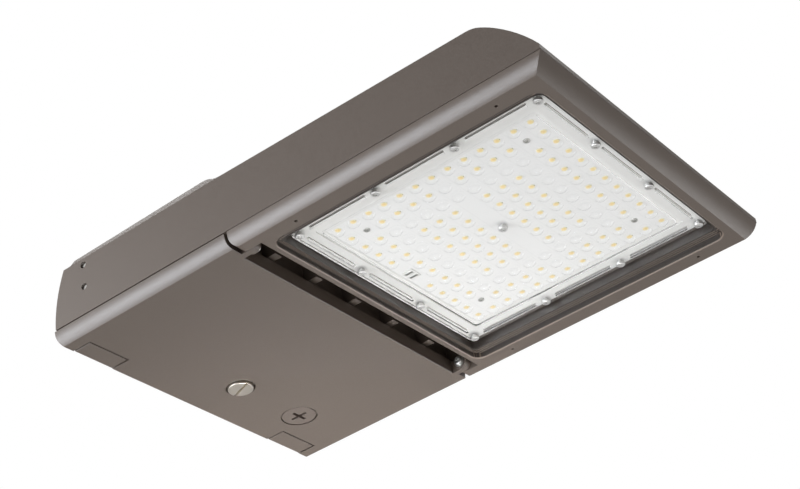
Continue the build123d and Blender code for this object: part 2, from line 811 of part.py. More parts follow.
def make_latch_pin():
    """Cross pin through the stem."""
    return long_rod(latch_y, pin_height(), latch_x - latch_pin_length / 2, latch_x + latch_pin_length / 2,
                    latch_pin_radius)


def make_latch_receiver():
    """Plate with a slot that lets the cross pin through one way round."""
    plate = block(latch_x - receiver_length / 2, latch_x + receiver_length / 2, latch_y - receiver_width / 2,
                  latch_y + receiver_width / 2, receiver_height, receiver_height + receiver_thickness)
    plate = fillet(plate.edges().filter_by(Axis.Z), 3.0)
    plate -= rod(latch_x, latch_y, receiver_height - 1, receiver_height + 5, latch_stem_radius + receiver_slot_gap)
    plate -= block(latch_x - latch_pin_length / 2 - receiver_slot_gap, latch_x + latch_pin_length / 2 + receiver_slot_gap,
                   latch_y - latch_pin_radius - 0.8, latch_y + latch_pin_radius + 0.8,
                   receiver_height - 1, receiver_height + 5)
    for x, y in receiver_screw_places():
        plate -= rod(x, y, receiver_height - 1, receiver_height + 5, small_screw_radius + thread_play)
    return plate


def receiver_screw_places():
    """One screw up into each post."""
    reach = receiver_width / 2 - post_edge
    return [(latch_x, latch_y - reach), (latch_x, latch_y + reach)]


def make_receiver_posts():
    """Hexagon posts that hang from the cover and carry the receiver."""
    posts = []
    low = receiver_height + receiver_thickness
    for x, y in receiver_screw_places():
        face = Pos(x, y, base + low) * RegularPolygon(post_flats / 2, 6, major_radius=False)
        post = extrude(face, ceiling - low, dir=(0, 0, 1))
        post += rod(x, y, ceiling - 1, ceiling + post_stub_length, post_stub_radius)
        posts.append(post - tapped(x, y, low, small_screw_radius, small_screw_bite))
    return Compound(posts)


def make_sensor_plug():
    """Flush plug with a cross recess and a neck that goes through the door."""
    head = rod(plug_x, plug_y, 0, plug_head, plug_radius)
    head = chamfer(head.edges().sort_by(Axis.Z)[0], 0.5)
    plug = head + rod(plug_x, plug_y, plug_head, plug_neck_length, plug_neck_radius)
    arm = Box(cross_length, cross_width, 2 * cross_depth)
    return plug - Pos(plug_x, plug_y, base) * (arm + Rot(0, 0, 90) * arm)


def make_plug_ring():
    """Rubber seal under the plug's nut."""
    z1 = plug_boss_height + plug_seal_thickness
    ring = rod(plug_x, plug_y, plug_boss_height, z1, plug_nut_flats / 2)
    return ring - rod(plug_x, plug_y, 0, z1 + 1, plug_neck_radius + plug_neck_play)


def make_plug_nut():
    """Thin hexagon nut on the plug's neck."""
    z0 = plug_boss_height + plug_seal_thickness
    face = Pos(plug_x, plug_y, base + z0) * RegularPolygon(plug_nut_flats / 2, 6, major_radius=False)
    nut = extrude(face, plug_nut_height, dir=(0, 0, 1))
    return nut - rod(plug_x, plug_y, 0, z0 + plug_nut_height + 1, plug_neck_radius + thread_play)


def flange_grooves(low, high):
    """Bars that cut the grooves between neighbouring flange screws."""
    length_x = 2 * screw_x / 3 - 2 * flange_groove_inset
    length_y = 2 * screw_y / 3 - 2 * flange_groove_inset
    half = flange_groove_width / 2
    bars = []
    for i in (-1, 0, 1):
        x = lens_x + i * 2 * screw_x / 3
        y = i * 2 * screw_y / 3
        for side in (-1, 1):
            edge_x = lens_x + side * screw_x
            edge_y = side * screw_y
            bars.append(block(x - length_x / 2, x + length_x / 2, edge_y - half, edge_y + half, low, high))
            bars.append(block(edge_x - half, edge_x + half, y - length_y / 2, y + length_y / 2, low, high))
    return bars


def make_lens_plate():
    """Clear plate: a flange with grooves between its screws and a sunk field of domes."""
    plate = tile(plate_x, plate_y, 5.0, flange_height, flange_height + flange_thickness)
    field_half_x = field_x / 2 + field_margin
    field_half_y = field_y / 2 + field_margin
    plate += tile(field_half_x, field_half_y, 3.0, flange_height + 1, field_back)
    plate -= tile(field_half_x, field_half_y, 3.0, flange_height - 1, flange_height + field_sink)
    plate -= flange_grooves(flange_height - 1, flange_height + flange_groove_depth)
    for x, y in lens_screw_places() + [(lens_x, 0)]:
        plate -= rod(x, y, 0, field_back + 1, lens_screw_radius + thread_play)
    face_z = flange_height + field_sink
    ball = (dome_radius ** 2 + dome_height ** 2) / (2 * dome_height)
    cap = Pos(0, 0, ball) * Sphere(ball)
    cap &= Pos(0, 0, (dome_height + 0.4) / 2) * Box(4 * ball, 4 * ball, dome_height + 0.4)
    domes = []
    for site in sites:
        if has_dome(*site):
            x, y = site_place(*site)
            domes.append(Pos(x, y, base + face_z - dome_height) * cap)
    return plate.fuse(*domes)


def make_lens_gasket():
    """Pale frame under the lens flange, with slots in line with the screws that pass through it."""
    ring = tile(screw_x + lens_gasket_outer, screw_y + lens_gasket_outer, 4.0,
                seat_height - lens_gasket_thickness, seat_height)
    ring -= tile(screw_x - lens_gasket_inner, screw_y - lens_gasket_inner, 2.0, 0, seat_height + 1)
    ring -= flange_grooves(0, seat_height + 1)
    for x, y in lens_screw_places():
        ring -= rod(x, y, 0, seat_height + 1, lens_screw_radius + thread_play)
    return ring


def make_lens_screws():
    """Screws round the flange."""
    length = seat_height - flange_height + lens_screw_bite
    return Compound([pan_screw(x, y, flange_height, lens_head_radius, lens_head_height, lens_screw_radius, length)
                     for x, y in lens_screw_places()])


def make_centre_screw():
    """Screw that holds the middle of the lens and the board."""
    seat = flange_height + field_sink
    return pan_screw(lens_x, 0, seat, lens_head_radius, lens_head_height, small_screw_radius,
                     sink_face - seat + small_screw_bite)


def make_led_board():
    """White board that carries the light sources."""
    board = tile(board_x, board_y, 2.0, board_front, board_back)
    for x, y in board_screw_places + [(lens_x, 0)]:
        board -= rod(x, y, 0, board_back + 1, small_screw_radius + thread_play)
    return board


def make_thermal_pad():
    """Soft sheet between the board and the casting."""
    pad = tile(board_x - 1, board_y - 1, 2.0, board_back, sink_face)
    for x, y in board_screw_places + [(lens_x, 0)]:
        pad -= rod(x, y, 0, sink_face + 1, small_screw_radius + thread_play)
    return pad


def make_leds():
    """Light sources on the board."""
    half = led_size / 2
    chips = []
    for site in sites:
        if has_led(*site):
            x, y = site_place(*site)
            chips.append(block(x - half, x + half, y - half, y + half, board_front - led_height, board_front))
    return Compound(chips)


def make_board_screws():
    """Low screws at the corners of the board."""
    return Compound([pan_screw(x, y, board_front, small_head_radius, led_height, small_screw_radius,
                               sink_face - board_front + small_screw_bite) for x, y in board_screw_places])


def make_board_connector():
    """Low connector in the clear window at the rear edge of the board."""
    x, y = site_place(0, led_rows / 2 - 0.5)
    plug = block(x - 5, x + 5, y - 7, y + 7, board_front - led_height, board_front)
    return fillet(plug.edges().filter_by(Axis.Z), 0.6)


def make_wire_grommet():
    """Rubber bush in the wire entry."""
    lip = wire_hole_radius + grommet_lip
    bush = long_rod(0, mount_height, 0, cavity_rear + bracket_thickness, wire_hole_radius - grommet_play)
    bush += long_rod(0, mount_height, cavity_rear + bracket_thickness,
                     cavity_rear + bracket_thickness + grommet_lip_thickness, lip)
    far = cavity_rear + bracket_thickness + grommet_lip_thickness
    return bush - long_rod(0, mount_height, -1, far + 1, grommet_bore_radius)


def make_mount_bracket():
    """Steel backing plate behind the mounting pad."""
    x1 = cavity_rear + bracket_thickness
    plate = block(cavity_rear, x1, -mount_pad_width / 2, mount_pad_width / 2,
                  mount_height - bracket_height / 2, mount_height + bracket_height / 2)
    plate = fillet(plate.edges().filter_by(Axis.X), 4.0)
    plate -= long_rod(0, mount_height, 0, x1 + 1, wire_hole_radius)
    for side in (-1, 1):
        plate -= long_rod(side * bolt_spacing / 2, mount_height, 0, x1 + 1, bolt_hole_radius)
    return plate


def make_corner_bracket():
    """Angle that joins the left side wall to the rear plate."""
    x1 = cavity_rear + bracket_thickness
    inner = cavity_half - bracket_thickness
    angle = block(cavity_rear, x1, cavity_half - corner_leg, cavity_half, corner_low, corner_high)
    angle += block(cavity_rear, x1 + corner_arm, inner, cavity_half, corner_low, corner_high)
    angle += block(cover_rear, x1 + corner_arm, inner, cavity_half, corner_high - 1, ceiling - panel_play)
    for z in side_screw_heights:
        angle -= cross_rod(side_screw_x, z, inner - 1, cavity_half + 1, side_screw_radius + thread_play)
    for y, z in rear_screw_places():
        angle -= long_rod(y, z, 0, x1 + 1, small_screw_radius + thread_play)
    return angle


def make_rear_screws():
    """Screws that hold the rear plate, sunk in its outside."""
    length = cavity_rear + bracket_thickness + 1 - rear_screw_seat
    return Compound([pan_screw(rear_screw_seat, y, z, small_head_radius, small_head_height, small_screw_radius,
                               length, turn=(0, 90, 0)) for y, z in rear_screw_places()])


def make_side_screws():
    """Button-head screws sunk in the side walls and driven into the bracket's arms."""
    screws = []
    for z in side_screw_heights:
        head = cross_rod(side_screw_x, z, side_seat, side_seat + side_head_height, side_head_radius)
        head = fillet(head.edges().sort_by(Axis.Y)[-1], side_head_height * 0.8)
        shank = cross_rod(side_screw_x, z, cavity_half - bracket_thickness - 1.5, side_seat, side_screw_radius)
        screws += [head + shank, mirror(head + shank, about=Plane.XZ)]
    return Compound(screws)


driver_x1 = cavity_front - driver_front_gap
driver_x0 = driver_x1 - driver_size[0]
driver_top = ceiling - driver_bracket_thickness
driver_y1 = driver_size[1] / 2


def driver_screw_places():
    """Screws through the driver's ears and its bracket."""
    middle = (driver_x0 + driver_x1) / 2
    reach = driver_y1 + driver_ear / 2
    return [(middle, -reach), (middle, reach)]


def make_led_driver():
    """Metal case of the driver with an ear at each end."""
    case = block(driver_x0, driver_x1, -driver_y1, driver_y1, driver_top - driver_size[2], driver_top)
    case = fillet(case.edges().filter_by(Axis.Y), 3.0)
    ear = block(driver_x0 + 14, driver_x1 - 14, driver_y1 - 1, driver_y1 + driver_ear,
                driver_top - driver_ear_thickness, driver_top)
    case += mirrored(ear)
    for x, y in driver_screw_places():
        case -= rod(x, y, driver_top - 10, driver_top + 1, small_screw_radius + thread_play)
    return case


def make_driver_bracket():
    """Steel sheet between the driver and the ceiling of the bay."""
    reach = driver_y1 + driver_ear + driver_bracket_edge
    sheet = block(driver_x0 + 8, driver_x1 - 8, -reach, reach, driver_top, ceiling)
    for x, y in driver_screw_places():
        sheet -= rod(x, y, driver_top - 1, ceiling + 1, small_screw_radius + thread_play)
    return sheet


def make_driver_screws():
    """Screws that hold the driver up."""
    seat = driver_top - driver_ear_thickness
    return Compound([pan_screw(x, y, seat, small_head_radius, small_head_height, small_screw_radius,
                               ceiling - seat + cover_bite) for x, y in driver_screw_places()])


surge_x1 = driver_x0 - surge_front_gap
surge_x0 = surge_x1 - surge_size[0]
surge_y0 = surge_side_gap - cavity_half
surge_y1 = surge_y0 + surge_size[1]


def surge_screw_places():
    """Screw through the surge protector's tab."""
    return [((surge_x0 + surge_x1) / 2, surge_y1 + 6)]


def make_surge_protector():
    """Potted surge protector with a fixing tab."""
    can = block(surge_x0, surge_x1, surge_y0, surge_y1, ceiling - surge_size[2], ceiling)
    can = fillet(can.edges().filter_by(Axis.Z), 4.0)
    tab = block(surge_x0 + 8, surge_x1 - 8, surge_y1 - 1, surge_y1 + 12, ceiling - 3, ceiling)
    can += tab
    for x, y in surge_screw_places():
        can -= rod(x, y, ceiling - 10, ceiling + 1, small_screw_radius + thread_play)
    return can


def make_surge_screws():
    """Screw of the surge protector."""
    return Compound([pan_screw(x, y, ceiling - 3, small_head_radius, small_head_height, small_screw_radius,
                               3 + cover_bite) for x, y in surge_screw_places()])


terminal_x1 = driver_x0 - terminal_front_gap
terminal_x0 = terminal_x1 - terminal_size[0]
terminal_y1 = cavity_half - terminal_side_gap
terminal_y0 = terminal_y1 - terminal_size[1]


def terminal_screw_places():
    """Screws through the feet of the terminal block."""
    middle = (terminal_x0 + terminal_x1) / 2
    return [(middle, terminal_y0 - 4.5), (middle, terminal_y1 + 4.5)]


def make_terminal_block():
    """Block of terminals with wire mouths and a foot at each end."""
    x0, x1, y0, y1 = terminal_x0, terminal_x1, terminal_y0, terminal_y1
    low = ceiling - terminal_size[2]
    body = block(x0, x1, y0, y1, low, ceiling)
    body += block(x0 + 5, x1 - 5, y0 - 9, y1 + 9, ceiling - 3, ceiling)
    pitch = terminal_size[1] / terminal_ways
    for i in range(terminal_ways):
        y = y0 + (i + 0.5) * pitch
        body -= long_rod(y, low + 7, x0 - 1, x0 + 8, 2.4)
        body -= long_rod(y, low + 7, x1 - 8, x1 + 1, 2.4)
    for x, y in terminal_screw_places():
        body -= rod(x, y, ceiling - 10, ceiling + 1, small_screw_radius + thread_play)
    return body


def make_terminal_screws():
    """Screws of the terminal block."""
    return Compound([pan_screw(x, y, ceiling - 3, small_head_radius, small_head_height, small_screw_radius,
                               3 + cover_bite) for x, y in terminal_screw_places()])


def earth_place():
    """Earth screw beside the terminal block."""
    return (terminal_x0 + terminal_x1) / 2, terminal_y1 + 14.5


def make_earth_screw():
    """Earth screw in the ceiling of the bay."""
    x, y = earth_place()
    return pan_screw(x, y, ceiling, lens_head_radius, lens_head_height, small_screw_radius, cover_bite)


hinge_screw = make_hinge_screw()
hinge_washer = make_hinge_washer()
corner_bracket = make_corner_bracket()
nodes = {
    "housing": make_housing(),
    "rear_plate": make_rear_plate(),
    "rear_screws": make_rear_screws(),
    "bay_cover": make_bay_cover(),
    "cover_screws": Compound([pan_screw(x, y, top + cover_screw_seat, small_head_radius, small_head_height,
                                        small_screw_radius, cover_screw_seat + small_screw_bite, turn=(180, 0, 0))
                              for x, y, top in cover_screw_places()]),
    "lamp_frame": make_lamp_frame(),
    "heat_sink": make_heat_sink(),
    "frame_screws": Compound([pan_screw(x, y, fin_root, small_head_radius, small_head_height, small_screw_radius,
                                        fin_root - frame_top + small_screw_bite, turn=(180, 0, 0))
                              for x, y in frame_screw_places()]),
    "sink_screws": Compound([pan_screw(x, y, sink_screw_seat(), lens_head_radius, lens_head_height,
                                       lens_screw_radius, fin_root - sink_screw_seat() + lens_screw_bite)
                             for x, y in sink_screw_places()]),
    "driver_door": make_door(),
    "door_gasket": make_door_gasket(),
    "hinge_screw_right": mirror(hinge_screw, about=Plane.XZ),
    "hinge_screw_left": hinge_screw,
    "hinge_washer_right": mirror(hinge_washer, about=Plane.XZ),
    "hinge_washer_left": hinge_washer,
    "latch_stud": make_latch_stud(),
    "latch_clip": make_latch_clip(),
    "latch_pin": make_latch_pin(),
    "latch_receiver": make_latch_receiver(),
    "receiver_posts": make_receiver_posts(),
    "receiver_screws": Compound([pan_screw(x, y, receiver_height, small_head_radius, small_head_height,
                                           small_screw_radius, receiver_thickness + small_screw_bite)
                                 for x, y in receiver_screw_places()]),
    "sensor_plug": make_sensor_plug(),
    "plug_ring": make_plug_ring(),
    "plug_nut": make_plug_nut(),
    "lens_plate": make_lens_plate(),
    "lens_gasket": make_lens_gasket(),
    "lens_screws": make_lens_screws(),
    "centre_screw": make_centre_screw(),
    "led_board": make_led_board(),
    "leds": make_leds(),
    "board_screws": make_board_screws(),
    "board_connector": make_board_connector(),
    "thermal_pad": make_thermal_pad(),
    "mount_bracket": make_mount_bracket(),
    "corner_bracket_right": mirror(corner_bracket, about=Plane.XZ),
    "corner_bracket_left": corner_bracket,
    "side_screws": make_side_screws(),
    "wire_grommet": make_wire_grommet(),
    "led_driver": make_led_driver(),
    "driver_bracket": make_driver_bracket(),
    "driver_screws": make_driver_screws(),
    "surge_protector": make_surge_protector(),
    "surge_screws": make_surge_screws(),
    "terminal_block": make_terminal_block(),
    "terminal_screws": make_terminal_screws(),
    "earth_screw": make_earth_screw(),
}
for name, shape in nodes.items():
    export_step(shape, f"parts/{name}.step")
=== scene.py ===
"""Finishes, small fittings, camera and studio of the area light."""

import logging
import math
from dataclasses import dataclass, field
from enum import Enum

import bmesh
import bpy
from mathutils import Matrix, Vector


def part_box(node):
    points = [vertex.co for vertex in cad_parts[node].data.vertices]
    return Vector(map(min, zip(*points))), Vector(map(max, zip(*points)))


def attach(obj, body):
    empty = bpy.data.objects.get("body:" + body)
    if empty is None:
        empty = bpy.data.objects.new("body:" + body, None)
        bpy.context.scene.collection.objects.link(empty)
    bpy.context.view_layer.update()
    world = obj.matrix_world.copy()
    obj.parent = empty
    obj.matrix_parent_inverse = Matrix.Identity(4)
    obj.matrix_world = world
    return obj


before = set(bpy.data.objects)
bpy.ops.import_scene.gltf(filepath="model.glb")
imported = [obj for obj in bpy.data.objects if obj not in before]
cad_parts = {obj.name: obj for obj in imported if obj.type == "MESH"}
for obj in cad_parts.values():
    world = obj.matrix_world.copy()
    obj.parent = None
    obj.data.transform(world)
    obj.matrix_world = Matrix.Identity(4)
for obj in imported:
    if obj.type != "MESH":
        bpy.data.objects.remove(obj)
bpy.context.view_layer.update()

log = logging.getLogger("area_light")
MM = 0.001
Pair = tuple[float, float]
Triple = tuple[float, float, float]
Colour = Triple

# Grid of light sources, as in the solids
GRID_COLUMNS = 13
GRID_ROWS = 12
PITCH_X = 15.35 * MM
PITCH_Y = 17.2 * MM
LENS_MIDDLE = 340.7 * MM
CAP_RADIUS = 2.3 * MM

# Faces that meet at more than this keep a sharp edge
SHARP_ANGLE = math.radians(35)


class Body(Enum):
    """Bodies that pieces move with."""

    FIXED = "body"
    DOOR = "door"
    LATCH = "latch"


class Slot(Enum):
    """Material slot names, handed to the new pieces."""

    STEEL = "plated_steel"
    WHITE = "white_plastic"
    PHOSPHOR = "phosphor"
    CASE = "driver_case"


class Sock:
    """Output socket that takes part in sums, products and comparisons."""

    def __init__(self, graph: "Graph", socket: bpy.types.NodeSocket) -> None:
        """Keeps the socket and the graph it lies in."""
        self.graph = graph
        self.socket = socket

    def _math(self, operation: str, first: "Sock | float", second: "Sock | float") -> "Sock":
        """Adds one Math node.

        Args:
            operation: the node's operation.
            first: left value.
            second: right value.

        Returns:
            The node's result.
        """
        return self.graph.node("ShaderNodeMath", {"operation": operation}, {0: first, 1: second})

    def __add__(self, other: "Sock | float") -> "Sock":
        """Sum."""
        return self._math("ADD", self, other)

    def __radd__(self, other: float) -> "Sock":
        """Sum with a number on the left."""
        return self._math("ADD", other, self)

    def __sub__(self, other: "Sock | float") -> "Sock":
        """Difference."""
        return self._math("SUBTRACT", self, other)

    def __rsub__(self, other: float) -> "Sock":
        """Difference from a number."""
        return self._math("SUBTRACT", other, self)

    def __mul__(self, other: "Sock | float") -> "Sock":
        """Product."""
        return self._math("MULTIPLY", self, other)

    def __rmul__(self, other: float) -> "Sock":
        """Product with a number on the left."""
        return self._math("MULTIPLY", other, self)

    def __truediv__(self, other: "Sock | float") -> "Sock":
        """Quotient."""
        return self._math("DIVIDE", self, other)

    def __gt__(self, other: "Sock | float") -> "Sock":
        """One where this value is the larger."""
        return self._math("GREATER_THAN", self, other)

    def __lt__(self, other: "Sock | float") -> "Sock":
        """One where this value is the smaller."""
        return self._math("LESS_THAN", self, other)

    def wrapped(self, pitch: float) -> "Sock":
        """Distance from the middle of the nearest cell of a pitch."""
        cell = self._math("MODULO", self / pitch + 1000.5, 1.0)
        return (cell - 0.5).size() * pitch

    def size(self) -> "Sock":
        """Value without its sign."""
        return self._math("ABSOLUTE", self, 0.0)

    def larger(self, other: "Sock | float") -> "Sock":
        """Larger of the two values."""
        return self._math("MAXIMUM", self, other)

    def other(self, name: str) -> "Sock":
        """Another output of the same node."""
        return Sock(self.graph, self.socket.node.outputs[name])


class Graph:
    """Node tree of one material or of the world."""

    def __init__(self, tree: bpy.types.NodeTree) -> None:
        """Empties the tree."""
        tree.nodes.clear()
        self.tree = tree

    def node(self, kind: str, settings: dict | None = None, inputs: dict | None = None) -> Sock:
        """Adds any node.

        Args:
            kind: the node's type.
            settings: its own settings, set first.
            inputs: values or links of its sockets, by name or number.

        Returns:
            Its first output that is in use.
        """
        made = self.tree.nodes.new(kind)
        for name, value in (settings or {}).items():
            setattr(made, name, value)
        for name, value in (inputs or {}).items():
            if isinstance(name, int):
                target = made.inputs[name]
            else:
                target = next(s for s in made.inputs if s.name == name and s.enabled)
            if isinstance(value, Sock):
                self.tree.links.new(value.socket, target)
            elif isinstance(value, tuple) and len(value) == 3 and target.type == "RGBA":
                target.default_value = (*value, 1.0)
            else:
                target.default_value = value
        return Sock(self, next((s for s in made.outputs if s.enabled), None))

    def place(self) -> Sock:
        """Object coordinates, in metres."""
        return self.node("ShaderNodeTexCoord").other("Object")

    def axes(self) -> tuple[Sock, Sock, Sock]:
        """The three object coordinates."""
        x = self.node("ShaderNodeSeparateXYZ", {}, {"Vector": self.place()})
        return x, x.other("Y"), x.other("Z")

    def noise(self, size: float, detail: float = 2.0, stretch: Triple = (1.0, 1.0, 1.0)) -> Sock:
        """Soft noise from 0 to 1.

        Args:
            size: width of its patches in metres.
            detail: finer layers.
            stretch: scale along the three axes.

        Returns:
            The noise value.
        """
        place = self.node("ShaderNodeMapping", {}, {"Vector": self.place(), "Scale": stretch})
        return self.node("ShaderNodeTexNoise", {}, {"Vector": place, "Scale": 1 / size, "Detail": detail})

    def grains(self, size: float) -> Sock:
        """Random value of each grain of a given size, from 0 to 1."""
        cell = self.node("ShaderNodeTexVoronoi", {}, {"Vector": self.place(), "Scale": 1 / size})
        return self.node("ShaderNodeSeparateXYZ", {}, {"Vector": cell.other("Color")})

    def mix(self, share: Sock, low: "Colour | Sock", high: "Colour | Sock") -> Sock:
        """Colour between two colours."""
        return self.node("ShaderNodeMix", {"data_type": "RGBA"}, {"Factor": share, "A": low, "B": high})

    def bump(self, height: Sock, depth: float, strength: float = 1.0, edge: float = 0.0) -> Sock:
        """Surface normal from a height.

        Args:
            height: height from 0 to 1.
            depth: what a height of 1 stands for, in metres.
            strength: share of the effect.
            edge: radius by which sharp edges are softened, in metres.

        Returns:
            The normal.
        """
        inputs = {"Height": height, "Distance": depth, "Strength": strength}
        if edge > 0:
            inputs["Normal"] = self.node("ShaderNodeBevel", {"samples": 4}, {"Radius": edge})
        return self.node("ShaderNodeBump", {}, inputs)


def shade(colour: Colour, factor: float) -> Colour:
    """Colour made lighter or darker by a factor."""
    return tuple(min(1.0, c * factor) for c in colour)


class Finish:
    """Base of the finishes: makes its material once and hands it out."""

    made: dict[str, bpy.types.Material] = {}

    def material(self) -> bpy.types.Material:
        """The finish's material, made at its first use.

        Returns:
            The material.
        """
        if self.name not in Finish.made:
            material = bpy.data.materials.new(self.name)
            material.use_nodes = True
            graph = Graph(material.node_tree)
            graph.node("ShaderNodeOutputMaterial", {}, {"Surface": self.surface(graph)})
            Finish.made[self.name] = material
        return Finish.made[self.name]

    def surface(self, graph: Graph) -> Sock:
        """The finish's shader."""
        return graph.node("ShaderNodeBsdfPrincipled", {}, self.sockets(graph))

    def sockets(self, graph: Graph) -> dict:
        """Values and links of the shader.

        Args:
            graph: node tree to build in.

        Returns:
            Socket names with their values or links.
        """
        raise NotImplementedError


@dataclass(frozen=True)
class PowderCoat(Finish):
    """Satin powder coat with fine metal flake."""

    name: str
    colour: Colour
    roughness: float = 0.42
    gloss_range: float = 0.16
    ior: float = 1.8
    flake: float = 0.7 * MM
    flake_share: float = 0.72
    cloud: float = 90 * MM
    tones: Pair = (0.91, 1.1)
    peel: float = 1.6 * MM
    relief: float = 0.06 * MM
    relief_share: float = 0.8
    edge: float = 0.3 * MM

    def sockets(self, graph: Graph) -> dict:
        """Flake in the colour and the roughness, faint orange peel, softened edges.

        Args:
            graph: node tree to build in.

        Returns:
            Socket names with their values or links.
        """
        flake = graph.grains(self.flake)
        cloud = graph.noise(self.cloud, 3.0)
        peel = graph.noise(self.peel)
        tone = self.flake_share * flake + (1 - self.flake_share) * cloud
        low, high = self.tones
        return {"Base Color": graph.mix(tone, shade(self.colour, low), shade(self.colour, high)),
                "IOR": self.ior,
                "Roughness": self.roughness + self.gloss_range * (flake - 0.5),
                "Normal": graph.bump(0.5 * peel + 0.5 * flake, self.relief, self.relief_share, self.edge)}


@dataclass(frozen=True)
class PaintedLightCoat(PowderCoat):
    """Powder coat of the frame, with shade painted into the recess about the lens and highlights painted on
    its lip and its ridges.
    """

    middle: float = 0.0
    rim: float = 0.0
    well: Pair = (0.0, 0.0)
    ledge: Pair = (4.1 * MM, 9.4 * MM)
    lip: float = 0.9 * MM
    # height above the rim at which the painted highlight on the lip's chamfer begins
    lip_highlight_start: float = 0.09 * MM
    # where, how often and how wide the painted highlight lines on the ridges fall
    ridge_start: float = 0.24
    ridge_pitch: float = 0.28
    ridge_half: float = 0.045
    # factor by which the painted shade in the recess lowers the colour
    painted_shade: float = 0.38
    # factor by which the painted highlights on the lip and the ridges raise the colour
    pale: float = 2.0

    def sockets(self, graph: Graph) -> dict:
        """The coat's own sockets, with painted shade in the recess and painted highlights on the lip and the
        ridges.

        Args:
            graph: node tree to build in.

        Returns:
            Socket names with their values or links.
        """
        sockets = super().sockets(graph)
        x, y, z = graph.axes()
        across = ((x - self.middle).size() - self.well[0]) / self.ledge[0]
        along = (y.size() - self.well[1]) / self.ledge[1]
        reach = across.larger(along)
        inside = (across < 1 + self.lip / self.ledge[0]) * (along < 1 + self.lip / self.ledge[1])
        # painted shade: the whole recess inside the lip takes a darker colour
        painted_shade_area = inside * (z > self.rim + self.lip)
        # painted highlight: a pale line on the lip's chamfer
        edge = inside * (z > self.rim + self.lip_highlight_start) - painted_shade_area
        # painted highlight: pale lines along the ridges of the recess
        painted_ridge_highlight = (reach - self.ridge_start).wrapped(self.ridge_pitch) < self.ridge_half
        painted_ridge_highlight = painted_ridge_highlight * painted_shade_area * (reach > self.ridge_start / 2) * (reach < 1 - self.ridge_half)
        # paints the shade into the recess
        colour = graph.mix(painted_shade_area, sockets["Base Color"], shade(self.colour, self.painted_shade))
        # paints the highlights on the lip and the ridges
        sockets["Base Color"] = graph.mix(edge + painted_ridge_highlight, colour, shade(self.colour, self.pale))
        return sockets


@dataclass(frozen=True)
class PlatedMetal(Finish):
    """Plated steel, with fine turning or rolling marks."""

    name: str
    colour: Colour
    roughness: float = 0.3
    grain: float = 0.5 * MM
    stretch: Triple = (1.0, 1.0, 1.0)
    stain: float = 9 * MM
    dull: float = 0.3
    dull_tone: float = 0.45
    polish: float = 0.08
    gloss_range: float = 0.2
    relief: float = 0.02 * MM
    edge: float = 0.15 * MM

    def sockets(self, graph: Graph) -> dict:
        """Streaky colour and roughness.

        Args:
            graph: node tree to build in.

        Returns:
            Socket names with their values or links.
        """
        streak = graph.noise(self.grain, 3.0, self.stretch)
        stain = graph.noise(self.stain, 3.0)
        tone = self.dull * (0.5 * streak + 0.5 * stain)
        return {"Base Color": graph.mix(tone, self.colour, shade(self.colour, self.dull_tone)),
                "Metallic": 1.0,
                "Roughness": self.roughness - self.polish + self.gloss_range * streak,
                "Normal": graph.bump(streak, self.relief, 0.5, self.edge)}


@dataclass(frozen=True)
class Moulding(Finish):
    """Moulded plastic or rubber with a fine grain."""

    name: str
    colour: Colour
    roughness: float = 0.5
    grain: float = 0.5 * MM
    relief: float = 0.05 * MM
    contrast: float = 0.15
    cloud: float = 25 * MM
    gloss_range: float = 0.12
    relief_share: float = 0.6
    edge: float = 0.3 * MM

    def sockets(self, graph: Graph) -> dict:
        """Fine grain in the colour, the roughness and the surface.

        Args:
            graph: node tree to build in.

        Returns:
            Socket names with their values or links.
        """
        grain = graph.noise(self.grain, 3.0)
        cloud = graph.noise(self.cloud, 3.0)
        tone = 0.5 * grain + 0.5 * cloud
        low, high = shade(self.colour, 1 - self.contrast), shade(self.colour, 1 + self.contrast)
        return {"Base Color": graph.mix(tone, low, high),
                "Roughness": self.roughness + self.gloss_range * (grain - 0.5),
                "Normal": graph.bump(grain, self.relief, self.relief_share, self.edge)}


@dataclass(frozen=True)
class ClearOptic(Finish):
    """Clear moulded optic."""

    name: str
    tint: Colour = (1.0, 1.0, 1.0)
    ior: float = 1.13
    gloss_ior: float = 1.32
    gloss_roughness: float = 0.04
    roughness: float = 0.03
    wave: float = 6 * MM
    relief: float = 0.03 * MM

    def surface(self, graph: Graph) -> Sock:
        """Clear shader that lets lamp light straight through to the board behind it.

        Args:
            graph: node tree to build in.

        Returns:
            The shader.
        """
        ray = graph.node("ShaderNodeLightPath")
        through = ray.other("Is Shadow Ray").larger(ray.other("Is Diffuse Ray"))
        clear = graph.node("ShaderNodeBsdfTransparent")
        return graph.node("ShaderNodeMixShader", {}, {0: through, 1: super().surface(graph), 2: clear})

    def sockets(self, graph: Graph) -> dict:
        """Clear body with a hardly uneven surface.

        Args:
            graph: node tree to build in.

        Returns:
            Socket names with their values or links.
        """
        wave = graph.noise(self.wave)
        return {"Base Color": self.tint, "IOR": self.ior, "Transmission Weight": 1.0,
                "Coat Weight": 1.0, "Coat IOR": self.gloss_ior, "Coat Roughness": self.gloss_roughness,
                "Roughness": self.roughness * (1.0 + wave),
                "Normal": graph.bump(wave, self.relief, 0.5)}


@dataclass(frozen=True)
class BoardMask(Finish):
    """White solder mask over copper, which shows faintly as paler fields between the rows."""

    name: str
    colour: Colour
    gap: float = 0.35 * MM
    gap_share: float = 0.5
    gap_tone: float = 0.9
    grain: float = 0.6 * MM
    grain_share: float = 0.25
    roughness: float = 0.34
    gloss_range: float = 0.1
    relief: float = 0.02 * MM

    def sockets(self, graph: Graph) -> dict:
        """Fields, fine grain and a satin surface.

        Args:
            graph: node tree to build in.

        Returns:
            Socket names with their values or links.
        """
        x, _, _ = graph.axes()
        gap = (x - LENS_MIDDLE - PITCH_X / 2).wrapped(PITCH_X) < self.gap
        grain = graph.noise(self.grain)
        tone = self.grain_share * grain + self.gap_share * gap
        return {"Base Color": graph.mix(tone, self.colour, shade(self.colour, self.gap_tone)),
                "Roughness": self.roughness + self.gloss_range * grain,
                "Normal": graph.bump(grain + 2.0 * (1 - gap), self.relief, 0.5)}


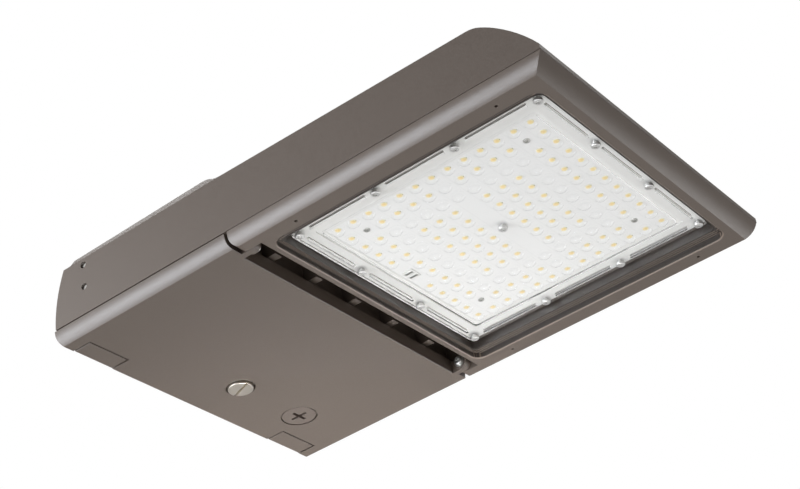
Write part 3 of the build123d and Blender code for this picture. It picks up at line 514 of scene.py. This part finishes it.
@dataclass(frozen=True)
class Phosphor(Finish):
    """Yellow phosphor, more orange in the middle and paler towards its edge."""

    name: str
    core: Colour
    rim: Colour
    grain: float = 0.25 * MM
    grain_share: float = 0.2
    roughness: float = 0.22
    gloss_range: float = 0.12
    relief: float = 0.01 * MM

    def sockets(self, graph: Graph) -> dict:
        """Rings of colour about each light source.

        Args:
            graph: node tree to build in.

        Returns:
            Socket names with their values or links.
        """
        x, y, _ = graph.axes()
        across = (x - LENS_MIDDLE).wrapped(PITCH_X)
        along = (y - PITCH_Y / 2).wrapped(PITCH_Y)
        reach = (across * across + along * along) / CAP_RADIUS ** 2
        grain = graph.noise(self.grain)
        tone = reach + self.grain_share * (grain - 0.5)
        return {"Base Color": graph.mix(tone, self.core, self.rim),
                "Roughness": self.roughness + self.gloss_range * grain,
                "Normal": graph.bump(grain, self.relief, 0.5)}


@dataclass(frozen=True)
class CoatedCase(Finish):
    """Coated sheet-metal case with rolling marks."""

    name: str
    colour: Colour
    streak: float = 1.2 * MM
    stretch: Triple = (1.0, 0.04, 1.0)
    streak_share: float = 0.6
    cloud: float = 40 * MM
    tones: Pair = (0.82, 1.12)
    metallic: float = 0.6
    roughness: float = 0.36
    gloss_range: float = 0.14
    relief: float = 0.02 * MM
    edge: float = 0.4 * MM

    def sockets(self, graph: Graph) -> dict:
        """Long faint streaks.

        Args:
            graph: node tree to build in.

        Returns:
            Socket names with their values or links.
        """
        streak = graph.noise(self.streak, 3.0, self.stretch)
        cloud = graph.noise(self.cloud)
        tone = self.streak_share * streak + (1 - self.streak_share) * cloud
        low, high = self.tones
        return {"Base Color": graph.mix(tone, shade(self.colour, low), shade(self.colour, high)),
                "Metallic": self.metallic,
                "Roughness": self.roughness + self.gloss_range * streak,
                "Normal": graph.bump(streak, self.relief, 0.4, self.edge)}


@dataclass(frozen=True)
class Palette:
    """All finishes of the light."""

    bronze: PowderCoat = PowderCoat("bronze powder coat", (0.102, 0.077, 0.060))
    plug: Moulding = Moulding("bronze plug", (0.122, 0.096, 0.080), 0.5)
    nickel: PlatedMetal = PlatedMetal("satin nickel", (0.80, 0.73, 0.64), 0.34)
    steel: PlatedMetal = PlatedMetal("zinc plate", (0.66, 0.65, 0.62), 0.3)
    bright: PlatedMetal = PlatedMetal("bright plate", (0.84, 0.83, 0.81), 0.45)
    strap: PlatedMetal = PlatedMetal("rolled steel strap", (0.55, 0.55, 0.54), 0.36, 0.8 * MM,
                                     (1.0, 0.05, 1.0))
    brass: PlatedMetal = PlatedMetal("clamp brass", (0.66, 0.50, 0.24), 0.3)
    optic: ClearOptic = ClearOptic("clear optic")
    silicone: Moulding = Moulding("pale silicone", (0.84, 0.83, 0.80), 0.55, 1.0 * MM, 0.03 * MM, 0.05)
    pad: Moulding = Moulding("thermal pad", (0.46, 0.50, 0.56), 0.7, 0.8 * MM, 0.05 * MM, 0.1)
    rubber: Moulding = Moulding("black rubber", (0.022, 0.022, 0.022), 0.62, 0.5 * MM)
    black: Moulding = Moulding("black plastic", (0.028, 0.028, 0.030), 0.42)
    white: Moulding = Moulding("white plastic", (0.86, 0.85, 0.82), 0.35, 0.6 * MM, 0.02 * MM, 0.04)
    resin: Moulding = Moulding("pale resin", (0.98, 0.86, 0.58), 0.3, 0.4 * MM, 0.02 * MM, 0.05)
    board: BoardMask = BoardMask("white board mask", (0.93, 0.92, 0.90))
    phosphor: Phosphor = Phosphor("phosphor", (1.0, 0.76, 0.30), (1.0, 0.92, 0.66))
    case: CoatedCase = CoatedCase("driver case", (0.52, 0.53, 0.54))
    floor: Moulding = Moulding("pale floor", (0.84, 0.84, 0.83), 0.8, 30 * MM, 0.02 * MM, 0.01)


@dataclass
class Assembly:
    """Base of the sub-assemblies: new pieces and finishes of a group of nodes."""

    palette: Palette
    made: list[bpy.types.Object] = field(default_factory=list)

    def coat(self, finish: Finish, *names: str) -> None:
        """Gives CAD nodes a finish.

        Args:
            finish: the finish.
            names: the nodes.
        """
        for name in names:
            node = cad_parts[name]
            if not node.material_slots:
                node.data.materials.append(None)
            for slot in node.material_slots:
                slot.material = finish.material()
            log.info("%s: %s", name, finish.name)

    def add(self, name: str, shape: bmesh.types.BMesh, finish: Finish, body: Body, slot: Slot) -> None:
        """Makes a piece from a finished shape.

        Args:
            name: the piece's name.
            shape: its bmesh, in the light's own frame.
            finish: its finish.
            body: what it moves with.
            slot: material slot for the piece; not used.
        """
        bmesh.ops.recalc_face_normals(shape, faces=shape.faces)
        mesh = bpy.data.meshes.new(name)
        shape.to_mesh(mesh)
        shape.free()
        mesh.materials.append(finish.material())
        mesh.shade_smooth()
        mesh.set_sharp_from_angle(angle=SHARP_ANGLE)
        piece = bpy.data.objects.new(name, mesh)
        bpy.context.scene.collection.objects.link(piece)
        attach(piece, body.value)
        self.made.append(piece)
        log.info("%s: new piece, %d faces", name, len(mesh.polygons))

    def build(self) -> None:
        """Makes the assembly's new pieces; none by default."""

    def dress(self) -> None:
        """Gives the assembly's nodes their finishes."""
        raise NotImplementedError


@dataclass
class Shell(Assembly):
    """Castings of the outside: housing, rear plate, cover, lamp frame and heat sink, with their screws."""

    lens_gap: Pair = (2.8 * MM, 4.9 * MM)
    # the lamp frame's coat is lighter than the housing's by this factor: painted light
    frame_painted_light: float = 1.12

    def dress(self) -> None:
        """Bronze castings, plated screws; the lamp frame's coat is a lighter copy of the bronze as painted
        light, with painted shade in the recess about the lens and painted highlights on its lip and ridges.
        """
        low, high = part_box("lens_plate")
        well = ((high.x - low.x) / 2 + self.lens_gap[0], (high.y - low.y) / 2 + self.lens_gap[1])
        colour = shade(self.palette.bronze.colour, self.frame_painted_light)
        # the frame's coat, with its painted light, shade and highlights
        frame_painted_coat = PaintedLightCoat("bronze coat of the frame", colour, middle=(low.x + high.x) / 2,
                                rim=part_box("lamp_frame")[0].z, well=well)
        self.coat(frame_painted_coat, "lamp_frame")
        self.coat(self.palette.bronze, "housing", "rear_plate", "bay_cover", "heat_sink")
        self.coat(self.palette.steel, "frame_screws", "sink_screws", "rear_screws", "cover_screws",
                  "side_screws")


@dataclass
class Door(Assembly):
    """Driver door with its seal, hinge and port plug."""

    def dress(self) -> None:
        """Bronze door and plug, black seals, plated hinge."""
        self.coat(self.palette.bronze, "driver_door")
        self.coat(self.palette.plug, "sensor_plug")
        self.coat(self.palette.rubber, "door_gasket", "plug_ring")
        self.coat(self.palette.black, "plug_nut")
        self.coat(self.palette.steel, "hinge_screw_right", "hinge_screw_left",
                  "hinge_washer_right", "hinge_washer_left")


@dataclass
class Latch(Assembly):
    """Quarter-turn fastener and its receiver."""

    def dress(self) -> None:
        """Nickel stud, plated small parts."""
        self.coat(self.palette.nickel, "latch_stud")
        self.coat(self.palette.steel, "latch_clip", "latch_pin", "receiver_screws", "receiver_posts")
        self.coat(self.palette.strap, "latch_receiver")


@dataclass
class Lens(Assembly):
    """Clear optic with its seal, its screws and the reflector film behind its edge."""

    gasket_band: float = 14.2 * MM
    overlap: float = 1.5 * MM
    film: float = 0.25 * MM
    gap: float = 0.15 * MM
    corner: float = 2.0 * MM
    corner_steps: int = 4

    def build(self) -> None:
        """White film between the light board and the seal."""
        low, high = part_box("lens_gasket")
        board_low, board_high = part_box("led_board")
        face = board_low.z - self.gap
        shape = bmesh.new()
        outer = self.loop(shape, low, high, -self.gasket_band, face)
        inner = self.loop(shape, board_low, board_high, -self.overlap, face)
        faces = [shape.faces.new((outer[i - 1], outer[i], inner[i], inner[i - 1]))
                 for i in range(len(outer))]
        under = bmesh.ops.extrude_face_region(shape, geom=faces)["geom"]
        bmesh.ops.translate(shape, verts=[v for v in under if isinstance(v, bmesh.types.BMVert)],
                            vec=(0, 0, -self.film))
        self.add("reflector_film", shape, self.palette.white, Body.FIXED, Slot.WHITE)

    def loop(self, shape: bmesh.types.BMesh, low: Vector, high: Vector, grow: float,
             height: float) -> list[bmesh.types.BMVert]:
        """Round-cornered loop of points about a box.

        Args:
            shape: bmesh that takes the points.
            low: lower corner of the box.
            high: upper corner of the box.
            grow: how far the loop lies outside the box.
            height: height of the loop.

        Returns:
            The points in order.
        """
        middle = (low + high) / 2
        half = (high - low) / 2 + Vector((grow, grow, 0))
        points = []
        for quarter, (side_x, side_y) in enumerate(((1, 1), (-1, 1), (-1, -1), (1, -1))):
            for step in range(self.corner_steps + 1):
                turn = (quarter + step / self.corner_steps) * math.pi / 2
                x = middle.x + side_x * (half.x - self.corner) + self.corner * math.cos(turn)
                y = middle.y + side_y * (half.y - self.corner) + self.corner * math.sin(turn)
                points.append(shape.verts.new((x, y, height)))
        return points

    def dress(self) -> None:
        """Clear plate, pale seal, plated screws."""
        self.coat(self.palette.optic, "lens_plate")
        self.coat(self.palette.silicone, "lens_gasket")
        self.coat(self.palette.bright, "lens_screws", "centre_screw")


@dataclass
class LightBoard(Assembly):
    """White board with its light sources."""

    cap_height: float = 0.22 * MM
    cap_segments: int = 12
    cap_shoulder: float = 0.35
    cap_crown: float = 0.3
    contact_pitch: float = 6.4 * MM
    contact_size: Triple = (7.6 * MM, 2.6 * MM, 0.4 * MM)
    contact_round: float = 0.24 * MM

    def lit(self, column: int, row: int) -> bool:
        """Whether a site of the grid holds a light source.

        Args:
            column: column from the rear.
            row: row from the right.

        Returns:
            True for the two outer rings and the middle, but for the centre column and the window.
        """
        ring = min(column, GRID_COLUMNS - 1 - column, row, GRID_ROWS - 1 - row)
        if ring == 0:
            return not (column == 0 and row in (GRID_ROWS // 2 - 1, GRID_ROWS // 2))
        corner = column in (1, GRID_COLUMNS - 2) and row in (1, GRID_ROWS - 2)
        return not (corner or ring == 2 or column == GRID_COLUMNS // 2)

    def build(self) -> None:
        """Low phosphor cap on each light source."""
        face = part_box("leds")[0].z
        shape = bmesh.new()
        for column in range(GRID_COLUMNS):
            for row in range(GRID_ROWS):
                if self.lit(column, row):
                    x = LENS_MIDDLE + (column - (GRID_COLUMNS - 1) / 2) * PITCH_X
                    y = (row - (GRID_ROWS - 1) / 2) * PITCH_Y
                    self.cap(shape, Vector((x, y, face)))
        self.add("phosphor_caps", shape, self.palette.phosphor, Body.FIXED, Slot.PHOSPHOR)
        self.contacts()

    def contacts(self) -> None:
        """Bent metal contacts on the connector's face."""
        low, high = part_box("board_connector")
        shape = bmesh.new()
        for side in (-1, 1):
            centre = Vector(((low.x + high.x) / 2, (low.y + high.y) / 2 + side * self.contact_pitch / 2,
                             low.z - self.contact_size[2] / 2))
            place = Matrix.Translation(centre) @ Matrix.Diagonal((*self.contact_size, 1.0))
            bar = bmesh.ops.create_cube(shape, size=1.0, matrix=place)["verts"]
            edges = {e for v in bar for e in v.link_edges if all(p.co.z < centre.z for p in e.verts)}
            bmesh.ops.bevel(shape, geom=list(edges), offset=self.contact_round, offset_type="OFFSET",
                            affect="EDGES", segments=3, profile=0.5, material=-1)
        self.add("connector_contacts", shape, self.palette.steel, Body.FIXED, Slot.STEEL)

    def cap(self, shape: bmesh.types.BMesh, spot: Vector) -> None:
        """One cap: a disc with a raised, bevelled face.

        Args:
            shape: bmesh that takes it.
            spot: middle of its foot.
        """
        foot = bmesh.ops.create_circle(shape, cap_ends=True, segments=self.cap_segments,
                                       radius=CAP_RADIUS)["verts"]
        disc = foot[0].link_faces[0]
        raised = bmesh.ops.extrude_discrete_faces(shape, faces=[disc])["faces"][0]
        bmesh.ops.translate(shape, verts=raised.verts, vec=(0, 0, -self.cap_height))
        bmesh.ops.inset_individual(shape, faces=[raised], thickness=CAP_RADIUS * self.cap_shoulder, depth=0)
        bmesh.ops.translate(shape, verts=raised.verts, vec=(0, 0, -self.cap_height * self.cap_crown))
        new = [v for v in shape.verts if v.tag is False]
        bmesh.ops.translate(shape, verts=new, vec=spot)
        for vertex in new:
            vertex.tag = True

    def dress(self) -> None:
        """White board and packages, pale connector, pad."""
        self.coat(self.palette.board, "led_board")
        self.coat(self.palette.resin, "leds")
        self.coat(self.palette.white, "board_connector")
        self.coat(self.palette.steel, "board_screws")
        self.coat(self.palette.pad, "thermal_pad")


@dataclass
class DriverBay(Assembly):
    """Parts inside the driver bay and at the rear mount."""

    ways: int = 4
    foot: float = 9.0 * MM
    clamp_radius: float = 2.9 * MM
    clamp_taper: float = 0.86
    clamp_segments: int = 24
    clamp_height: float = 1.1 * MM
    clamp_slot: float = 0.9 * MM
    lid_inset: Pair = (7.0 * MM, 21.0 * MM)
    lid_corner: float = 3.5 * MM
    lid_height: float = 0.6 * MM
    lid_edge: float = 0.36 * MM

    def build(self) -> None:
        """Clamp screws of the terminals and the raised lid of the driver's case."""
        low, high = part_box("terminal_block")
        pitch = (high.y - low.y - 2 * self.foot) / self.ways
        clamps = bmesh.new()
        for i in range(self.ways):
            y = low.y + self.foot + (i + 0.5) * pitch
            self.clamp(clamps, Vector(((low.x + high.x) / 2, y, low.z)))
        self.add("terminal_clamps", clamps, self.palette.brass, Body.FIXED, Slot.STEEL)
        low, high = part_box("led_driver")
        self.add("driver_lid", self.lid(low, high), self.palette.case, Body.FIXED, Slot.CASE)

    def clamp(self, shape: bmesh.types.BMesh, spot: Vector) -> None:
        """One slotted screw head under the terminal block.

        Args:
            shape: bmesh that takes it.
            spot: middle of its seat.
        """
        for side in (-1, 1):
            half = bmesh.new()
            bmesh.ops.create_cone(half, cap_ends=True, segments=self.clamp_segments,
                                  radius1=self.clamp_radius * self.clamp_taper, radius2=self.clamp_radius,
                                  depth=self.clamp_height,
                                  matrix=Matrix.Translation((0, 0, -self.clamp_height / 2)))
            parts = list(half.verts) + list(half.edges) + list(half.faces)
            cut = bmesh.ops.bisect_plane(half, geom=parts, plane_co=(0, side * self.clamp_slot / 2, 0),
                                         plane_no=(0, side, 0), clear_inner=True)["geom_cut"]
            rim = [e for e in cut if isinstance(e, bmesh.types.BMEdge)]
            bmesh.ops.holes_fill(half, edges=rim, sides=0)
            bmesh.ops.translate(half, verts=half.verts, vec=spot)
            mesh = bpy.data.meshes.new("half head")
            half.to_mesh(mesh)
            half.free()
            shape.from_mesh(mesh)
            bpy.data.meshes.remove(mesh)

    def lid(self, low: Vector, high: Vector) -> bmesh.types.BMesh:
        """Raised, bevelled panel under the driver's case.

        Args:
            low: lower corner of the driver's box.
            high: upper corner of the driver's box.

        Returns:
            The panel's shape.
        """
        shape = bmesh.new()
        size = (high.x - low.x - 2 * self.lid_inset[0], high.y - low.y - 2 * self.lid_inset[1],
                self.lid_height)
        centre = Vector(((low.x + high.x) / 2, (low.y + high.y) / 2, low.z - self.lid_height / 2))
        place = Matrix.Translation(centre) @ Matrix.Diagonal((*size, 1.0))
        bmesh.ops.create_cube(shape, size=1.0, matrix=place)
        upright = [e for e in shape.edges
                   if abs(e.verts[0].co.z - e.verts[1].co.z) > self.lid_height / 2]
        bmesh.ops.bevel(shape, geom=upright, offset=self.lid_corner, offset_type="OFFSET", affect="EDGES",
                        segments=6, profile=0.5, material=-1)
        under = [e for e in shape.edges if all(v.co.z < centre.z for v in e.verts)]
        bmesh.ops.bevel(shape, geom=under, offset=self.lid_edge, offset_type="OFFSET", affect="EDGES",
                        segments=2, profile=0.5, material=-1)
        return shape

    def dress(self) -> None:
        """Coated driver, plated brackets and screws, plastic blocks."""
        self.coat(self.palette.case, "led_driver")
        self.coat(self.palette.strap, "driver_bracket", "mount_bracket",
                  "corner_bracket_right", "corner_bracket_left")
        self.coat(self.palette.steel, "driver_screws", "surge_screws", "terminal_screws")
        self.coat(self.palette.black, "surge_protector")
        self.coat(self.palette.white, "terminal_block")
        self.coat(self.palette.rubber, "wire_grommet")
        self.coat(self.palette.brass, "earth_screw")


@dataclass
class Lamp:
    """One soft lamp: where it stands from the spot it faces, its size, its level and how far it spreads."""

    name: str
    toward: Triple
    distance: float
    width: float
    height: float
    level: float
    aim: Triple = (0.25, 0.0, -0.02)
    spread: float = 180.0
    tint: Colour = (1.0, 1.0, 1.0)

    def place(self) -> None:
        """Makes the lamp, facing its spot."""
        data = bpy.data.lights.new(self.name, "AREA")
        data.shape = "RECTANGLE"
        data.size = self.width
        data.size_y = self.height
        data.energy = self.level * (math.pi * self.distance) ** 2
        way = Vector(self.toward).normalized()
        lamp = bpy.data.objects.new(self.name, data)
        bpy.context.scene.collection.objects.link(lamp)
        data.color = self.tint
        data.spread = math.radians(self.spread)
        lamp.location = Vector(self.aim) + way * self.distance
        lamp.rotation_euler = way.to_track_quat("Z", "Y").to_euler()
        lamp.visible_camera = False


@dataclass
class Studio:
    """Camera, soft lamps, pale floor and white surround."""

    palette: Palette
    azimuth: float = 32.724
    elevation: float = -33.522
    roll: float = -9.160
    eye: Triple = (0.9286, -1.0678, -0.8342)
    lens: float = 82.87
    floor_height: float = -2.0
    floor_size: float = 7.0
    ambient: float = 0.25
    sheen: float = 0.3
    lamps: tuple[Lamp, ...] = (
        Lamp("side strip", toward=(-0.47, -0.83, -0.24), distance=1.5, width=1.4, height=1.0, level=1.06,
             tint=(0.93, 0.98, 1.05)),
        Lamp("rear side lamp", toward=(-0.85, -0.50, 0.15), distance=1.0, width=0.8, height=0.8, level=0.2),
        Lamp("upper rear lamp", toward=(-0.60, -0.08, 0.80), distance=1.2, width=0.4, height=0.4, level=0.2),
        Lamp("under lamp", toward=(0.10, -0.10, -0.98), distance=1.2, width=1.2, height=1.2, level=0.33),
        Lamp("rear under lamp", toward=(-0.03, 0.15, -0.98), distance=1.0, width=0.3, height=0.3,
             level=0.055, aim=(0.02, 0.16, -0.04), spread=40.0),
        Lamp("front far lamp", toward=(0.53, 0.73, -0.42), distance=1.0, width=0.5, height=0.5, level=0.18),
        Lamp("front lamp", toward=(0.78, 0.22, 0.58), distance=1.2, width=0.5, height=0.5, level=0.22),
        Lamp("top lamp", toward=(0.2, 0.3, 0.93), distance=1.9, width=1.6, height=1.6, level=0.6),
    )

    def camera(self) -> None:
        """Camera at the photograph's viewing angle."""
        azimuth, elevation = math.radians(self.azimuth), math.radians(self.elevation)
        back = Vector((math.sin(azimuth) * math.cos(elevation), -math.cos(azimuth) * math.cos(elevation),
                       math.sin(elevation)))
        level = Vector((0, 0, 1)).cross(back).normalized()
        upright = back.cross(level)
        turn = math.radians(self.roll)
        right = math.cos(turn) * level + math.sin(turn) * upright
        up = math.cos(turn) * upright - math.sin(turn) * level
        data = bpy.data.cameras.new("camera")
        data.lens = self.lens
        camera = bpy.data.objects.new("camera", data)
        bpy.context.scene.collection.objects.link(camera)
        pose = Matrix((right, up, back)).transposed().to_4x4()
        pose.translation = Vector(self.eye)
        camera.matrix_world = pose
        bpy.context.scene.camera = camera

    def surround(self) -> None:
        """White to the eye and through the optic, greyer in reflections, softer still as a light."""
        world = bpy.data.worlds.new("studio")
        world.use_nodes = True
        graph = Graph(world.node_tree)
        ray = graph.node("ShaderNodeLightPath")
        seen = ray.larger(ray.other("Is Transmission Ray"))
        level = (self.ambient + (self.sheen - self.ambient) * ray.other("Is Glossy Ray")).larger(seen)
        light = graph.node("ShaderNodeBackground", {}, {"Color": (1.0, 1.0, 1.0), "Strength": level})
        graph.node("ShaderNodeOutputWorld", {}, {"Surface": light})
        bpy.context.scene.world = world

    def floor(self) -> None:
        """Pale floor with a faint grain."""
        shape = bmesh.new()
        bmesh.ops.create_grid(shape, x_segments=2, y_segments=2, size=self.floor_size / 2,
                              matrix=Matrix.Translation((0, 0, self.floor_height)))
        mesh = bpy.data.meshes.new("floor")
        shape.to_mesh(mesh)
        shape.free()
        mesh.materials.append(self.palette.floor.material())
        ground = bpy.data.objects.new("floor", mesh)
        bpy.context.scene.collection.objects.link(ground)

    def build(self) -> None:
        """Sets up the whole studio."""
        self.camera()
        self.surround()
        self.floor()
        for lamp in self.lamps:
            lamp.place()
        bpy.context.scene.view_settings.view_transform = "Standard"


def main() -> None:
    """Builds and dresses the sub-assemblies, logging each one's new pieces, and sets up the studio."""
    logging.basicConfig(level=logging.INFO, format="%(message)s")
    palette = Palette()
    for assembly in (Shell(palette), Door(palette), Latch(palette), Lens(palette), LightBoard(palette),
                     DriverBay(palette)):
        assembly.build()
        assembly.dress()
        log.info("%s: done, %d new pieces", type(assembly).__name__, len(assembly.made))
    Studio(palette).build()


if __name__ == "__main__":
    main()
